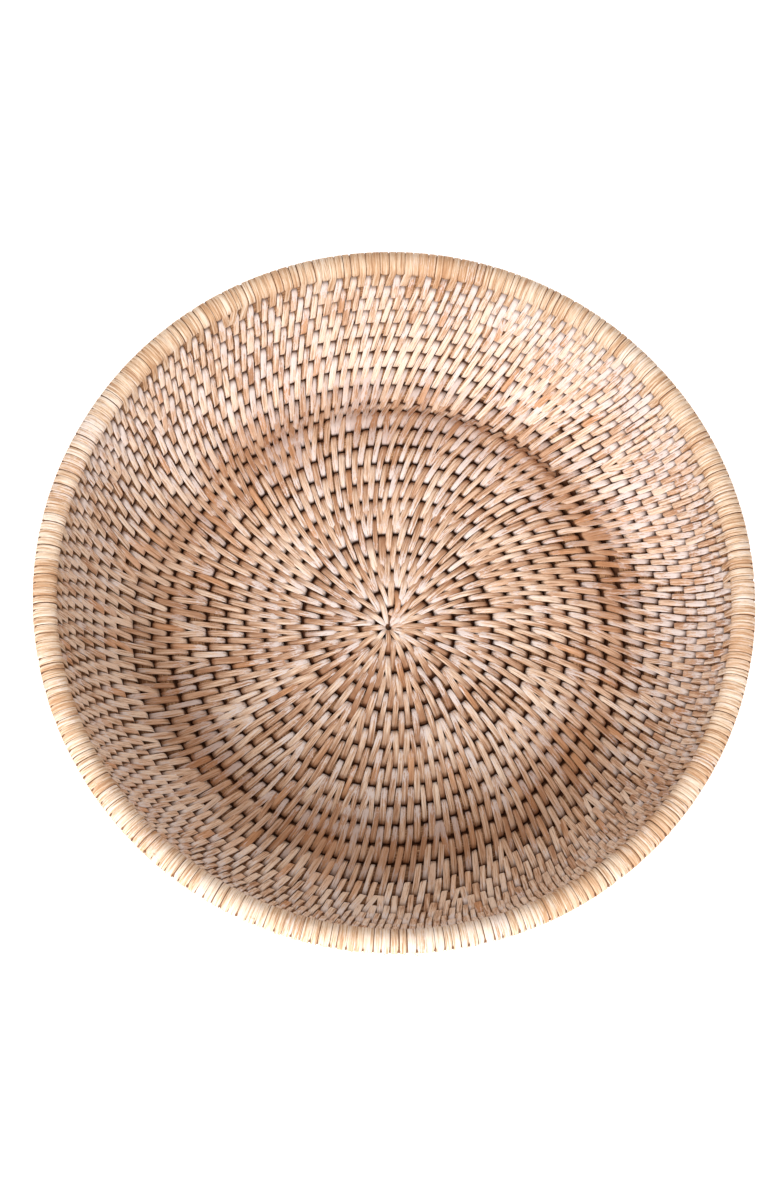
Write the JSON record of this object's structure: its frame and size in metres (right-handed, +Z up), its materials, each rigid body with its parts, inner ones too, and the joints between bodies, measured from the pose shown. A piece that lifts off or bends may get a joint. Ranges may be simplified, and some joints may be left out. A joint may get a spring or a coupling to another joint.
{
  "type": "coiled winnowing basket",
  "caption": "Shallow round bowl of coiled rattan cane, sewn with flat splints in staggered rows, with a curved wall and a thick wrapped rim.",
  "frame": {"origin": "centre of the underside, on the surface the bowl rests on", "axes": "+Z up out of the bowl's mouth; +Y towards the end of the base cane's spiral start ray (azimuth 0)"},
  "size_m": [0.36, 0.36, 0.0975],
  "materials": {
    "cane": "matt, fibrous, whitewashed",
    "splint": "satin, whitewashed",
    "rim_cane": "matt, fibrous",
    "rim_splint": "satin, whitewashed"
  },
  "bodies": {
    "root": {"wall_hoop_1": "cane", "wall_hoop_2": "cane", "wall_hoop_3": "cane", "wall_hoop_4": "cane", "wall_hoop_5": "cane", "wall_hoop_6": "cane", "wall_hoop_7": "cane", "wall_hoop_8": "cane", "wall_hoop_9": "cane", "rim_hoop": "rim_cane", "base_core": "cane", "centre_splints": "splint", "base_stitches_03": "splint", "base_stitches_04": "splint", "base_stitches_05": "splint", "base_stitches_06": "splint", "base_stitches_07": "splint", "base_stitches_08": "splint", "base_stitches_09": "splint", "base_stitches_10": "splint", "base_stitches_11": "splint", "base_stitches_12": "splint", "base_stitches_13": "splint", "wall_stitches_1": "splint", "wall_stitches_2": "splint", "wall_stitches_3": "splint", "wall_stitches_4": "splint", "wall_stitches_5": "splint", "wall_stitches_6": "splint", "wall_stitches_7": "splint", "wall_stitches_8": "splint", "wall_stitches_9": "splint", "rim_stitches": "rim_splint", "rim_wrap": "rim_splint"}
  },
  "joints": []
}
